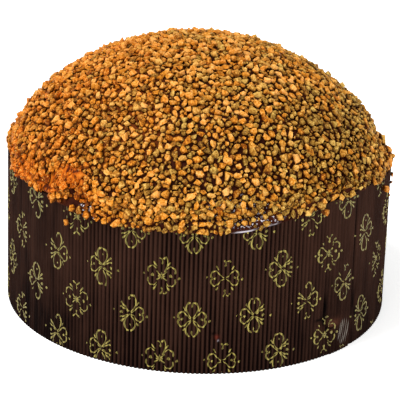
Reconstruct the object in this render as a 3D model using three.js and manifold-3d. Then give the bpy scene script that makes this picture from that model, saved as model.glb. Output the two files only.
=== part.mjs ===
// A round, low panettone, domed over the rim of its fluted paper case. The loaf fills the case,
// and a thick coat of chocolate set with caramel granules covers its dome and hangs over the rim.
// Millimetres, +Z up, origin at the middle of the base, front towards -Y.
// A bearing is the angle round the case, from the front towards +X.

import * as THREE from "three";
import { ConvexGeometry } from "three/addons/geometries/ConvexGeometry.js";
import { mergeVertices } from "three/addons/utils/BufferGeometryUtils.js";
import Module from "manifold-3d";

// Paper case
const CASE_RADIUS = 100; // to the crests of the flutes
const FLUTES = 280;
const FLUTE_DEPTH = 0.9;
const WALL_THICKNESS = 1.8; // from the crests to the smooth inner face
const BASE_THICKNESS = 1.6;
const RIM_HEIGHT = 79.5;
const RIM_WAVE = 0.5;

// Glued end of the paper band, where the rim also rises
const SEAM_BEARING = 52;
const SEAM_WIDTH = 9;
const SEAM_STEP = 0.45;
const SEAM_RISE = 5;
const SEAM_SPREAD = 22;

// Dome, as the tops of the granules outline it
const DOME_RADIUS = 99.4;
const DOME_FOOT = 79.4; // height at which the dome starts to curve in
const DOME_RISE = 60.4;
const DOME_POWER = 1.3; // 1 gives an ellipse, and more a peak that is less flat
const DOME_LEAN = 6.6; // the top sits this far to the left of the base's middle
const DOME_TILT = 3.8; // the right flank is higher and the left flank is lower

// Loaf under the coat
const LOAF_SHOULDER = 72;
const LOAF_RISE = 61.5;
const CLEARANCE = 0.35; // between pieces that touch

// Chocolate coat, craggy with the smaller granules
const COAT_DEPTH = 1.8; // mean surface of the coat below the tops of the granules
const COAT_BUMP = 1.7;
const COAT_POINTS = 1320;
const COAT_ANGLE = 84; // where the dome gives way to the lip, down from the top

// Rolled lip of the coat
const LIP_POINTS = 100;
const LIP_THICKNESS = 1.5; // how far the lip stands out past the case
const LIP_HEIGHT = 4;
const LIP_HANG = 3.6; // below the rim
const LIP_SEAM_LIFT = 5.4; // at the seam the coat ends above the rim
const LIP_SIDE_LIFT = 2.6;
const LIP_SIDE_BEARING = -74;
const LIP_RAGGED = 0.5;

// Granules large enough to be modelled one by one
const GRANULES = 144;
const GRANULE_SIZE = 3; // mean radius
const GRANULE_SPREAD = 0.5;
const GRANULE_CORNERS = 8;
const GRANULE_STAND = 0.27; // height of a granule's middle above the coat, in its radii

// Smooth patch of melted caramel on the left flank
const PATCH_BEARING = -48;
const PATCH_ANGLE = 71; // down from the top
const PATCH_LENGTH = 15; // half the patch's length, and so for its width
const PATCH_WIDTH = 11;
const PATCH_THICKNESS = 3.4;

const SEGMENTS = FLUTES / 5; // so that smooth walls keep in step with the flutes
const GOLDEN_ANGLE = Math.PI * (3 - Math.sqrt(5));
const INNER_RADIUS = CASE_RADIUS - WALL_THICKNESS;

const wasm = await Module();
wasm.setup();

const degrees = THREE.MathUtils.degToRad;

// The same draws each time for the same seed
function seededRandom(seed) {
  let state = seed;
  return () => {
    state = (state * 1664525 + 1013904223) % 4294967296;
    return state / 4294967296;
  };
}

function solidOf(geometry) {
  geometry.deleteAttribute("normal");
  geometry.deleteAttribute("uv");
  const merged = mergeVertices(geometry, 1e-4);
  const vertProperties = new Float32Array(merged.attributes.position.array);
  const triVerts = new Uint32Array(merged.index.array);
  return new wasm.Manifold(new wasm.Mesh({ numProp: 3, vertProperties, triVerts }));
}

function geometryOf(solid) {
  const mesh = solid.getMesh();
  const geometry = new THREE.BufferGeometry();
  geometry.setAttribute("position", new THREE.BufferAttribute(mesh.vertProperties, 3));
  geometry.setIndex(new THREE.BufferAttribute(mesh.triVerts, 1));
  geometry.computeVertexNormals();
  return geometry;
}

function moveVertices(geometry, move) {
  const positions = geometry.attributes.position;
  const point = new THREE.Vector3();
  for (let i = 0; i < positions.count; i += 1) {
    point.fromBufferAttribute(positions, i);
    move(point);
    positions.setXYZ(i, point.x, point.y, point.z);
  }
  return geometry;
}

// A body of revolution about Z from a profile of [radius, height] pairs, bottom to top
function lathe(profile) {
  const points = profile.map(([radius, height]) => new THREE.Vector2(radius, height));
  return new THREE.LatheGeometry(points, SEGMENTS).rotateX(Math.PI / 2);
}

function bearingOf(point) {
  return Math.atan2(point.x, -point.y);
}

// 1 at a bearing in degrees, falling to nothing over the spread to both sides
function near(bearing, centre, spread) {
  const away = Math.atan2(Math.sin(bearing - degrees(centre)), Math.cos(bearing - degrees(centre)));
  return Math.exp(-((away / degrees(spread)) ** 2));
}

function rimHeight(bearing) {
  const wave = Math.sin(3 * bearing + 0.6) + 0.6 * Math.sin(7 * bearing + 2.1);
  return RIM_HEIGHT + SEAM_RISE * near(bearing, SEAM_BEARING, SEAM_SPREAD) + RIM_WAVE * wave;
}

// Lower edge of the coat: it hangs over the rim, most at the front, and stops short at the seam
function lipEdge(bearing) {
  const atSeam = LIP_SEAM_LIFT * near(bearing, SEAM_BEARING, SEAM_SPREAD);
  const atSide = LIP_SIDE_LIFT * near(bearing, LIP_SIDE_BEARING, SEAM_SPREAD);
  const ragged = LIP_RAGGED * (Math.sin(9 * bearing + 1.2) + 0.7 * Math.sin(23 * bearing));
  return rimHeight(bearing) - LIP_HANG + atSeam + atSide - ragged;
}

// Leans the dome to the left and lifts its right flank
function lean(point) {
  const height = THREE.MathUtils.clamp((point.z - DOME_FOOT) / DOME_RISE, 0, 1);
  const rise = height ** (1 / DOME_POWER);
  point.z += (DOME_TILT * rise * point.x) / DOME_RADIUS;
  point.x -= DOME_LEAN * rise ** 0.8;
}

// Radius and height on a dome at an angle down from its top
function domeAt(angle, radius, foot, rise) {
  return [radius * Math.sin(angle), foot + rise * Math.cos(angle) ** DOME_POWER];
}

// Point and outward normal on the coat, before the lean
function coatAt(angle, bearing) {
  const [radius, height] = domeAt(angle, DOME_RADIUS, DOME_FOOT, DOME_RISE);
  const slope = DOME_POWER * DOME_RISE * Math.cos(angle) ** (DOME_POWER - 1) * Math.sin(angle);
  const out = new THREE.Vector2(slope, DOME_RADIUS * Math.cos(angle)).normalize();
  const normal = new THREE.Vector3(out.x * Math.sin(bearing), -out.x * Math.cos(bearing), out.y);
  const point = new THREE.Vector3(radius * Math.sin(bearing), -radius * Math.cos(bearing), height);
  return { point: point.addScaledVector(normal, -COAT_DEPTH), normal };
}

// Angles down from the top that share the dome's surface out evenly, in a spiral
function spiral(count, lowest) {
  const steps = 400;
  const areas = [0];
  for (let i = 0; i < steps; i += 1) {
    const [r0, z0] = domeAt((lowest * i) / steps, DOME_RADIUS, DOME_FOOT, DOME_RISE);
    const [r1, z1] = domeAt((lowest * (i + 1)) / steps, DOME_RADIUS, DOME_FOOT, DOME_RISE);
    areas.push(areas[i] + (r0 + r1) * Math.hypot(r1 - r0, z1 - z0));
  }
  const places = [];
  let step = 0;
  for (let i = 0; i < count; i += 1) {
    const share = (areas[steps] * (i + 0.5)) / count;
    while (areas[step + 1] < share) step += 1;
    const part = (share - areas[step]) / (areas[step + 1] - areas[step]);
    places.push({ angle: (lowest * (step + part)) / steps, bearing: i * GOLDEN_ANGLE });
  }
  return places;
}

// Closed prism with a fluted outside, whose top follows the rim
function flutedWall() {
  const outline = new THREE.Shape();
  for (let i = 0; i < 2 * FLUTES; i += 1) {
    const bearing = (Math.PI * i) / FLUTES;
    const fromSeam = SEAM_BEARING - THREE.MathUtils.radToDeg(bearing);
    const step = fromSeam >= 0 && fromSeam <= SEAM_WIDTH ? SEAM_STEP : 0;
    const radius = CASE_RADIUS + step - (i % 2) * FLUTE_DEPTH;
    const x = radius * Math.sin(bearing);
    const y = -radius * Math.cos(bearing);
    if (i === 0) outline.moveTo(x, y);
    else outline.lineTo(x, y);
  }
  const bore = new THREE.Path();
  for (let i = 0; i < SEGMENTS; i += 1) {
    const bearing = (2 * Math.PI * i) / SEGMENTS;
    const x = INNER_RADIUS * Math.sin(bearing);
    const y = -INNER_RADIUS * Math.cos(bearing);
    if (i === 0) bore.moveTo(x, y);
    else bore.lineTo(x, y);
  }
  outline.holes.push(bore);
  const wall = new THREE.ExtrudeGeometry(outline, { depth: RIM_HEIGHT, bevelEnabled: false });
  return moveVertices(wall, (point) => {
    if (point.z > RIM_HEIGHT / 2) point.z = rimHeight(bearingOf(point));
  });
}

function paperCase() {
  const reach = INNER_RADIUS + (WALL_THICKNESS - FLUTE_DEPTH) / 2;
  const floor = lathe([
    [0, 0],
    [reach, 0],
    [reach, BASE_THICKNESS],
    [0, BASE_THICKNESS],
  ]);
  return solidOf(flutedWall()).add(solidOf(floor));
}

// Loaf from its foot up, or the space that it takes, grown by an allowance
function loafProfile(foot, allowance) {
  const radius = INNER_RADIUS - CLEARANCE + allowance;
  const profile = [
    [0, foot],
    [radius, foot],
  ];
  for (const angle of [90, 78, 64, 49, 33, 17, 0]) {
    const [r, z] = domeAt(degrees(angle), radius, LOAF_SHOULDER + allowance, LOAF_RISE);
    profile.push([angle === 0 ? 0 : r, z]);
  }
  return profile;
}

function loaf() {
  return moveVertices(lathe(loafProfile(BASE_THICKNESS + CLEARANCE, 0)), lean);
}

// Space that the coat leaves free for the case's wall and rim
function rimSpace() {
  const radius = (CASE_RADIUS + CLEARANCE) / Math.cos(Math.PI / SEGMENTS);
  const block = lathe([
    [0, LOAF_SHOULDER / 2],
    [radius, LOAF_SHOULDER / 2],
    [radius, RIM_HEIGHT],
    [0.96 * INNER_RADIUS, RIM_HEIGHT],
    [0, RIM_HEIGHT],
  ]);
  return moveVertices(block, (point) => {
    if (point.z > LOAF_SHOULDER) point.z = rimHeight(bearingOf(point)) + CLEARANCE;
  });
}

// The lip from its shoulder to its underside: place in the wrap, stand-out from the case, height
function lipRings(edge, rim) {
  return [
    { angle: 88, out: -1.5, height: edge + LIP_HEIGHT + 1.5 },
    { angle: 93, out: LIP_THICKNESS, height: edge + LIP_HEIGHT - 1.2 },
    { angle: 98, out: LIP_THICKNESS, height: edge + 0.9 },
    { angle: 104, out: -1, height: Math.min(edge, rim - 2) },
  ];
}

// Outside of the coat: crags over the dome, and a rolled lip over the rim
function coatBody() {
  const random = seededRandom(7);
  const directions = [];
  const places = [];
  const addPoint = (angle, bearing, place) => {
    directions.push(new THREE.Vector3().setFromSphericalCoords(1, angle, bearing));
    places.push(place);
  };
  for (const { angle, bearing } of spiral(COAT_POINTS, degrees(COAT_ANGLE))) {
    const { point, normal } = coatAt(angle, bearing);
    const crag = (random() < 0.5 ? -1 : 1) * (0.5 + 0.5 * random());
    point.addScaledVector(normal, COAT_BUMP * crag);
    lean(point);
    addPoint(angle, bearing, point);
  }
  for (let i = 0; i < LIP_POINTS; i += 1) {
    const bearing = (2 * Math.PI * i) / LIP_POINTS;
    const edge = lipEdge(bearing);
    const rim = rimHeight(bearing);
    const overhang = THREE.MathUtils.smoothstep(rim - edge, -1, 1.2);
    for (const { angle, out, height } of lipRings(edge, rim)) {
      const stand = THREE.MathUtils.lerp(Math.min(out, -0.8), out, overhang);
      const radius = CASE_RADIUS + stand + 0.5 * overhang * (random() - 0.5);
      const x = radius * Math.sin(bearing);
      const y = -radius * Math.cos(bearing);
      addPoint(degrees(angle), bearing, new THREE.Vector3(x, y, height));
    }
  }
  return wrap(directions, places);
}

// Skin stretched over points by their directions from the middle, then moved to their places
function wrap(directions, places) {
  const key = (point) => point.toArray().map(Math.fround).join();
  const placeOf = new Map(directions.map((direction, i) => [key(direction), places[i]]));
  const skin = new ConvexGeometry(directions);
  return moveVertices(skin, (point) => point.copy(placeOf.get(key(point))));
}

function randomTurn(random) {
  const axis = new THREE.Vector3(random() - 0.5, random() - 0.5, random() - 0.5).normalize();
  return new THREE.Matrix4().makeRotationAxis(axis, 2 * Math.PI * random());
}

// Angular chip: the hull of corners spread over a ball and pushed in or out
function granule(size, random) {
  const corners = [];
  for (let i = 0; i < GRANULE_CORNERS; i += 1) {
    const height = 1 - (2 * i + 1) / GRANULE_CORNERS;
    const round = Math.sqrt(1 - height * height);
    const turn = i * GOLDEN_ANGLE + 0.5 * random();
    const reach = size * (0.82 + 0.36 * random());
    const corner = new THREE.Vector3(round * Math.cos(turn), round * Math.sin(turn), height);
    corners.push(corner.multiplyScalar(reach));
  }
  return new ConvexGeometry(corners).applyMatrix4(randomTurn(random));
}

function granules() {
  const random = seededRandom(31);
  const solids = [];
  for (const { angle, bearing } of spiral(GRANULES, degrees(COAT_ANGLE))) {
    const size = GRANULE_SIZE + GRANULE_SPREAD * (2 * random() - 1);
    const { point, normal } = coatAt(angle, bearing + 0.03 * (random() - 0.5));
    point.addScaledVector(normal, size * GRANULE_STAND);
    lean(point);
    solids.push(solidOf(granule(size, random).translate(point.x, point.y, point.z)));
  }
  return solids;
}

// Low rounded mound of melted caramel
function caramelPatch() {
  const { point, normal } = coatAt(degrees(PATCH_ANGLE), degrees(PATCH_BEARING));
  lean(point);
  const mound = new THREE.IcosahedronGeometry(1, 2);
  moveVertices(mound, (p) => p.multiplyScalar(1 + 0.1 * Math.sin(5 * p.x + 3 * p.y) * p.z));
  mound.scale(PATCH_LENGTH, PATCH_WIDTH, PATCH_THICKNESS);
  const up = new THREE.Vector3(0, 0, 1);
  const turn = new THREE.Quaternion().setFromUnitVectors(up, normal);
  return solidOf(mound.applyQuaternion(turn).translate(point.x, point.y, point.z));
}

function crunchCoat() {
  let coat = solidOf(coatBody()).add(caramelPatch());
  for (const piece of granules()) coat = coat.add(piece);
  const loafSpace = moveVertices(lathe(loafProfile(LOAF_SHOULDER / 2, CLEARANCE)), lean);
  return coat.subtract(solidOf(loafSpace)).subtract(solidOf(rimSpace()));
}

const paper = new THREE.MeshStandardMaterial({ color: 0x35241b, roughness: 0.7, metalness: 0 });
const crumb = new THREE.MeshStandardMaterial({ color: 0xd9a95c, roughness: 0.9, metalness: 0 });
const chocolate = new THREE.MeshStandardMaterial({ color: 0x9a6428, roughness: 0.4, metalness: 0 });

function piece(name, geometry, material) {
  const mesh = new THREE.Mesh(geometry, material);
  mesh.name = name;
  return mesh;
}

const panettone = new THREE.Group();
panettone.name = "panettone";
panettone.add(piece("paper_case", geometryOf(paperCase()), paper));
panettone.add(piece("loaf", geometryOf(solidOf(loaf())), crumb));
panettone.add(piece("crunch_coat", geometryOf(crunchCoat()), chocolate));

export default panettone;
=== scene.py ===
"""A domed panettone in its fluted paper case, coated with chocolate and caramel granules.

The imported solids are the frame. Every length is in metres, +Z is up and the front faces -Y.
A bearing is the angle round the case, from the front towards +X.
"""

import math

import bpy
import numpy as np
from bpy.props import FloatProperty, FloatVectorProperty, IntProperty, PointerProperty
from mathutils import Matrix, Vector, kdtree, noise


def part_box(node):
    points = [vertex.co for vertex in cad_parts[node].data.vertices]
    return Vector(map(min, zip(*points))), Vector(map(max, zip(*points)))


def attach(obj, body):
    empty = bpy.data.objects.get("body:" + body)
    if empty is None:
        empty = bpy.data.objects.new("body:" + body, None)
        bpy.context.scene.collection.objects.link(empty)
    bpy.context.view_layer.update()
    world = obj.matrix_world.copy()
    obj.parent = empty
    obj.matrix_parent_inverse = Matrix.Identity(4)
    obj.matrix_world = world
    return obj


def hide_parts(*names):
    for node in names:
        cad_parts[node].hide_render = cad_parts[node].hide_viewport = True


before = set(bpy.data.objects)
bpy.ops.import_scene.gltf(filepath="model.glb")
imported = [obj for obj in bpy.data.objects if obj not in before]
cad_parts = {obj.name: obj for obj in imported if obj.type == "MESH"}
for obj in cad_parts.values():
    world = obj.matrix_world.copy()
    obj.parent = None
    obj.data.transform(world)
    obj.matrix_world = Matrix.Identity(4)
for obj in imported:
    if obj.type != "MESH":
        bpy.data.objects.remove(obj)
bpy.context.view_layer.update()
CASE_LOW, CASE_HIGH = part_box("paper_case")

bl_info = {
    "name": "Panettone in a paper case",
    "version": (1, 0, 0),
    "blender": (4, 5, 0),
    "location": "View3D > Sidebar > Panettone",
    "description": "Models a domed festive loaf, its fluted paper case and its crunchy coat",
    "category": "Object",
}

MM = 0.001

# Dome that the tops of the granules outline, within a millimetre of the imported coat's
DOME_RADIUS = 99.4 * MM
DOME_FOOT = 79.4 * MM
DOME_RISE = 61.2 * MM
DOME_POWER = 1.3
DOME_LEAN = 6.6 * MM
DOME_TILT = 3.8 * MM

# Glued end of the paper band
SEAM_BEARING = 52
SEAM_WIDTH = 9
SEAM_STEP = 0.45 * MM


def srgb(red, green, blue):
    """Linear colour from the 0 to 255 values of a picture."""
    values = [c / 255 for c in (red, green, blue)]
    return [c / 12.92 if c <= 0.04045 else ((c + 0.055) / 1.055) ** 2.4 for c in values]


class PaperSettings(bpy.types.PropertyGroup):
    radius: FloatProperty(
        name="Case radius",
        description="To the crests of the flutes",
        default=(CASE_HIGH[0] - CASE_LOW[0]) / 2,
        subtype="DISTANCE",
        unit="LENGTH",
    )
    flutes: IntProperty(name="Flutes", description="Flutes round the case", default=280)
    flute_depth: FloatProperty(
        name="Flute depth",
        description="From crest to valley",
        default=0.9 * MM,
        subtype="DISTANCE",
        unit="LENGTH",
    )
    paper: FloatVectorProperty(
        name="Paper",
        description="Colour of the flutes' crests",
        default=srgb(57, 36, 28),
        subtype="COLOR",
    )
    # Painted shade deep between the flutes, against the crests' colour
    valley: FloatVectorProperty(
        name="Valley",
        description="Colour deep between the flutes",
        default=srgb(13, 6, 5),
        subtype="COLOR",
    )
    gold: FloatVectorProperty(
        name="Gold print",
        description="Colour of the printed flowers",
        default=srgb(173, 156, 70),
        subtype="COLOR",
    )


class CoatSettings(bpy.types.PropertyGroup):
    sink: FloatProperty(
        name="Chocolate depth",
        description="Depth of the chocolate below the tops of the granules",
        default=2.1 * MM,
        subtype="DISTANCE",
        unit="LENGTH",
    )
    lip: FloatProperty(
        name="Lip thickness",
        description="How far the rolled lip stands out past the case",
        default=0.5 * MM,
        subtype="DISTANCE",
        unit="LENGTH",
    )
    chocolate: FloatVectorProperty(
        name="Chocolate",
        description="Colour of the dark chocolate",
        default=srgb(56, 23, 13),
        subtype="COLOR",
    )
    melted: FloatVectorProperty(
        name="Melted caramel",
        description="Colour of the caramel that ran between the granules",
        default=srgb(180, 84, 12),
        subtype="COLOR",
    )


class GranuleSettings(bpy.types.PropertyGroup):
    tries: IntProperty(
        name="Tries",
        description="Places tried for granules, of which those that overlap a larger one stay empty",
        default=80000,
    )
    smallest: FloatProperty(
        name="Smallest granule",
        description="Width of the smallest granules",
        default=1.35 * MM,
        subtype="DISTANCE",
        unit="LENGTH",
    )
    largest: FloatProperty(
        name="Largest granule",
        description="Width of the largest granules",
        default=4.2 * MM,
        subtype="DISTANCE",
        unit="LENGTH",
    )
    seed: IntProperty(name="Seed", description="Seed of the scatter", default=12)


class StageSettings(bpy.types.PropertyGroup):
    floor: FloatVectorProperty(
        name="Floor",
        description="Colour of the floor",
        default=srgb(246, 246, 245),
        subtype="COLOR",
    )
    distance: FloatProperty(
        name="Camera distance",
        description="From the camera to the middle of the case",
        default=1.2,
        subtype="DISTANCE",
        unit="LENGTH",
    )
    elevation: FloatProperty(
        name="Camera elevation",
        description="Angle above the horizon",
        default=math.radians(22.65),
        subtype="ANGLE",
        unit="ROTATION",
    )


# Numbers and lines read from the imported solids

RIM_SECTORS = 140
BAND_OUTSIDE = 98.7 * MM  # only the outside of the band is this far from the axis


def points_of(obj):
    """Places of the object's vertices, one to a row."""
    values = np.empty(3 * len(obj.data.vertices))
    obj.data.vertices.foreach_get("co", values)
    return values.reshape(-1, 3)


def bearings_of(points):
    """Bearing of each point, in radians."""
    return np.arctan2(points[..., 0], -points[..., 1])


def radius_of(points):
    """Distance of each point from the axis of the case."""
    return np.hypot(points[..., 0], points[..., 1])


def edge_line(points, sectors):
    """Height of the highest points round the case, sector by sector, as a function of bearing."""
    bearings = bearings_of(points) % (2 * math.pi)
    sector = (bearings * sectors / (2 * math.pi)).astype(int) % sectors
    middles = (np.arange(sectors) + 0.5) * 2 * math.pi / sectors
    heights = [points[sector == i, 2].max() for i in range(sectors)]
    return lambda bearing: np.interp(bearing, middles, heights, period=2 * math.pi)


case_points = points_of(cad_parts["paper_case"])
rim_height = edge_line(case_points[radius_of(case_points) > BAND_OUTSIDE], RIM_SECTORS)


# Forms that the pieces share


def around(bearing, radius, height):
    """Points at a bearing, so far from the axis and so high, or directions out and up."""
    return np.stack([radius * np.sin(bearing), -radius * np.cos(bearing), height], -1)


def hill(value, middle, half, power=4):
    """1 at the middle, fading out half a width away. A higher power has steeper sides."""
    return np.exp(-(((value - middle) / half) ** power))


def hills(table, degrees, height, power=4):
    """Sum of the hills of a table: bearing, height, half width, half height and size of each."""
    return sum(
        size * hill(degrees, at, wide, power) * hill(height, up, tall, power)
        for at, up, wide, tall, size in table
    )


def eased(share):
    """A share held between 0 and 1, with soft ends."""
    share = np.clip(share, 0, 1)
    return share * share * (3 - 2 * share)


def roughly(points, scale, seed=0.0):
    """Smooth noise from -1 to 1 at each point, with features of the given size."""
    shift = Vector((seed, 1.7 * seed, -seed))
    return np.array([noise.noise(Vector(p) / scale + shift) for p in points])


# Bearing and height in millimetres of the coat's lower edge. Where it is below the rim, the
# coat laps over the paper, and elsewhere it ends inside the rim.
EDGE_BEARINGS = (-98, -88, -74, -68, -63, -50, -44, -37, -29, 10, 15, 20, 24, 30, 37, 41, 51, 60, 69,
                 75, 80, 90, 98, 115, 150, 180, 215, 245)
EDGE_HEIGHTS = (80.9, 82.1, 82.2, 81.4, 79.8, 79.2, 78.4, 77, 75.3, 75.6, 76.3, 77.6, 79, 80.6, 82,
                83.4, 84, 82.8, 81.2, 80.6, 80, 78.4, 79, 79, 77, 76, 77, 78.6)
EDGE_GAP = 0.5 * MM  # least distance of a granule's middle above the edge
# Bearing and half width in degrees of the stretch of the lip that granules leave bare, and
# how much higher they start there
BARE_STRETCH = (13.2, 3.2)
BARE_GAP = 3.8 * MM
LAP = 1.5 * MM  # depth below the rim at which the lip laps over it in full


def lip_edge(bearing):
    """Height of the coat's lower edge, ragged by drips."""
    height = np.interp(np.degrees(bearing), EDGE_BEARINGS, EDGE_HEIGHTS, period=360)
    return (height + 0.25 * np.sin(19 * bearing + 1) + 0.15 * np.sin(43 * bearing)) * MM


def lip_reach(bearing):
    """How far the lip laps over the rim, from 0 to 1, and the height of its lower edge."""
    edge = lip_edge(bearing)
    return eased((rim_height(bearing) - edge) / LAP), edge


def lowest_granules(bearing):
    """Height that the middles of the granules start at, higher over the bare stretch of the lip."""
    over, edge = lip_reach(bearing)
    bare = edge + BARE_GAP * hill(np.degrees(bearing), *BARE_STRETCH)
    return np.where(over > 0.5, bare, np.maximum(edge, rim_height(bearing))) + EDGE_GAP


# Bearing, height, half width in degrees, half height and stand-out of each dent or bulge
BULGES = (
    (-80, 82 * MM, 8, 6.5 * MM, -2.8 * MM),
    (-97, 93 * MM, 12, 6 * MM, -1.2 * MM),
    (100, 86 * MM, 12, 4.2 * MM, -3.4 * MM),
    (108, 101 * MM, 12, 6.5 * MM, 1.4 * MM),
)


def dome_height(angle):
    """Height of the dome at an angle down from its top."""
    return DOME_FOOT + DOME_RISE * np.cos(angle) ** DOME_POWER


def dome_normal(angle):
    """Outward and upward share of the dome's normal at an angle down from its top."""
    slope = DOME_POWER * DOME_RISE * np.cos(angle) ** (DOME_POWER - 1) * np.sin(angle)
    across = DOME_RADIUS * np.cos(angle)
    length = np.maximum(np.hypot(slope, across), 1e-9)
    return slope / length, across / length


def domed(angle, bearing, lift):
    """Points on the dome at angles down from its top, and their outward normals."""
    angle, bearing = np.broadcast_arrays(angle, bearing)
    out, up = dome_normal(angle)
    points = around(bearing, DOME_RADIUS * np.sin(angle) + lift * out, dome_height(angle) + lift * up)
    return leaned(points), around(bearing, out, up)


def leaned(points):
    """Leans the dome to the left, lifts its right flank and gives it its dents and bulges."""
    points = points.copy()
    share = np.clip((points[..., 2] - DOME_FOOT) / DOME_RISE, 0, 1) ** (1 / DOME_POWER)
    points[..., 2] += DOME_TILT * share * points[..., 0] / DOME_RADIUS
    points[..., 0] -= DOME_LEAN * share**0.8
    out = hills(BULGES, np.degrees(bearings_of(points)), points[..., 2])
    points[..., :2] *= (1 + out / np.maximum(radius_of(points), MM))[..., None]
    return points


# Bearing, height, half width in degrees, half height and depth of each crease in the band
CREASES = (
    (49.2, 9.8 * MM, 2.5, 6.0 * MM, 0.5 * MM),
    (40.6, 28.7 * MM, 0.4, 6.0 * MM, 1.2 * MM),
    (41.5, 20.0 * MM, 0.35, 4.5 * MM, 1.0 * MM),
    (52.6, 46.0 * MM, 0.45, 48.0 * MM, 1.2 * MM),
    (54.4, 24.0 * MM, 0.4, 9.0 * MM, 0.9 * MM),
    (6.0, 21.5 * MM, 0.5, 1.2 * MM, 0.5 * MM),
)
# Round this bearing, on both sides, the flutes lose this share of their depth. Their shades
# fade over a slightly wider stretch.
FLAT_BEARING = 55
FLAT_HALF = 23
FLAT_SHARE = 0.72
FADE_HALF = 25
VALLEY_POWER = 1.8  # above 1 the valleys are narrower than the crests
SWAY = 0.25 * MM  # slow waves of the band


def wall_radius(bearing, height, paper):
    """Outside of the band: fluted, stepped at its glued end, and creased beside it."""
    flute = (0.5 - 0.5 * np.cos(bearing * paper.flutes)) ** VALLEY_POWER
    degrees = np.degrees(bearing) % 360
    step = SEAM_STEP * ((degrees > SEAM_BEARING - SEAM_WIDTH) & (degrees < SEAM_BEARING))
    aside = np.abs((degrees + 180) % 360 - 180)
    depth = paper.flute_depth * (1 - FLAT_SHARE * hill(aside, FLAT_BEARING, FLAT_HALF, 2))
    sway = SWAY * np.sin(3 * bearing + 1 + 9 * height)
    return paper.radius + step + sway - depth * flute - hills(CREASES, degrees, height, 2)


# Modelling helpers


def deselect():
    """Leaves edit mode and selects nothing."""
    if bpy.context.object and bpy.context.object.mode != "OBJECT":
        bpy.ops.object.mode_set(mode="OBJECT")
    bpy.ops.object.select_all(action="DESELECT")


def ring_body(name, segments, rings, first_pole=None, last_pole=None):
    """A circle extruded, resized and lifted ring by ring through [radius, height] pairs.

    A pole closes an end at the given height. Without poles the last ring meets the first.
    """
    deselect()
    radius, height = rings[0]
    bpy.ops.mesh.primitive_circle_add(vertices=segments, radius=radius, location=(0, 0, height))
    obj = bpy.context.object
    obj.name = obj.data.name = name
    bpy.ops.object.transform_apply(location=True, rotation=True, scale=True)
    bpy.ops.object.mode_set(mode="EDIT")
    bpy.ops.mesh.select_all(action="SELECT")
    for next_radius, next_height in rings[1:]:
        bpy.ops.mesh.extrude_edges_move()
        share = next_radius / radius
        bpy.ops.transform.resize(value=(share, share, 1), center_override=(0, 0, height))
        bpy.ops.transform.translate(value=(0, 0, next_height - height))
        radius, height = next_radius, next_height
    if last_pole is not None:
        bpy.ops.mesh.extrude_edges_move()
        bpy.ops.transform.translate(value=(0, 0, last_pole - height))
        bpy.ops.mesh.merge(type="CENTER")
    if first_pole is not None:
        select_vertices(obj, range(segments))
        bpy.ops.mesh.extrude_edges_move()
        bpy.ops.transform.translate(value=(0, 0, first_pole - rings[0][1]))
        bpy.ops.mesh.merge(type="CENTER")
    bpy.ops.mesh.select_all(action="SELECT")
    bpy.ops.mesh.remove_doubles(threshold=0.01 * MM)
    bpy.ops.mesh.normals_make_consistent(inside=False)
    bpy.ops.object.mode_set(mode="OBJECT")
    return obj


def select_vertices(obj, indices):
    """Selects only these vertices of the object in edit mode."""
    bpy.ops.mesh.select_all(action="DESELECT")
    bpy.ops.object.mode_set(mode="OBJECT")
    for i in indices:
        obj.data.vertices[i].select = True
    bpy.ops.object.mode_set(mode="EDIT")
    bpy.ops.mesh.select_mode(type="VERT")
    bpy.ops.mesh.select_mode(type="EDGE")


def sculpt(obj, move):
    """Moves every vertex by a function of all their places."""
    moved = move(points_of(obj))
    obj.data.vertices.foreach_set("co", moved.ravel())
    obj.data.update()


def pick(obj):
    """Selects only this object and makes it the active one."""
    deselect()
    obj.select_set(True)
    bpy.context.view_layer.objects.active = obj


def smooth(obj, degrees=180):
    """Shades the piece smooth, with the edges past an angle kept sharp."""
    pick(obj)
    bpy.ops.object.shade_smooth_by_angle(angle=math.radians(degrees))


def dress(obj, material, replaces=()):
    """Gives a piece its material, body and slot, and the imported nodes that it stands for."""
    obj.data.materials.clear()
    obj.data.materials.append(material)
    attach(obj, "root")
    if replaces:
        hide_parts(*replaces)


def mesh_piece(name, vertices, faces):
    """A new object with a mesh of its own."""
    mesh = bpy.data.meshes.new(name)
    mesh.from_pydata(vertices.tolist(), [], faces.tolist())
    mesh.update()
    obj = bpy.data.objects.new(name, mesh)
    bpy.context.collection.objects.link(obj)
    return obj


# Shader helpers


def new_node(tree, kind):
    """A node set out in rows of eight."""
    node = tree.nodes.new(kind)
    node.location = (180 * (len(tree.nodes) % 8), -260 * (len(tree.nodes) // 8))
    return node


def feed(tree, socket, value):
    """Links another socket to this one, or gives it a value."""
    if isinstance(value, bpy.types.NodeSocket):
        tree.links.new(value, socket)
    else:
        socket.default_value = value


def add_node(tree, kind, settings=None, **inputs):
    """A node with its settings, and its inputs given as values or as sockets to link."""
    node = new_node(tree, kind)
    for name, value in (settings or {}).items():
        setattr(node, name, value)
    for name, value in inputs.items():
        feed(tree, node.inputs[name.replace("_", " ")], value)
    return node


def attribute(tree, name):
    """A value that each point of the mesh holds."""
    return add_node(tree, "ShaderNodeAttribute", {"attribute_name": name}).outputs["Fac"]


def upright_noise(tree, place, scale, detail, squash):
    """Noise drawn out up and down: the smaller the squash, the longer."""
    drawn = add_node(tree, "ShaderNodeMapping", Vector=place, Scale=(1, 1, squash)).outputs[0]
    return add_node(tree, "ShaderNodeTexNoise", Vector=drawn, Scale=scale, Detail=detail).outputs["Fac"]


def ramp(tree, factor, *stops):
    """A colour ramp over (position, colour) stops."""
    node = add_node(tree, "ShaderNodeValToRGB", Fac=factor)
    elements = node.color_ramp.elements
    while len(elements) < len(stops):
        elements.new(0.5)
    for element, (position, colour) in zip(elements, stops):
        element.position = position
        element.color = (*colour, 1)
    return node.outputs["Color"]


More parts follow.
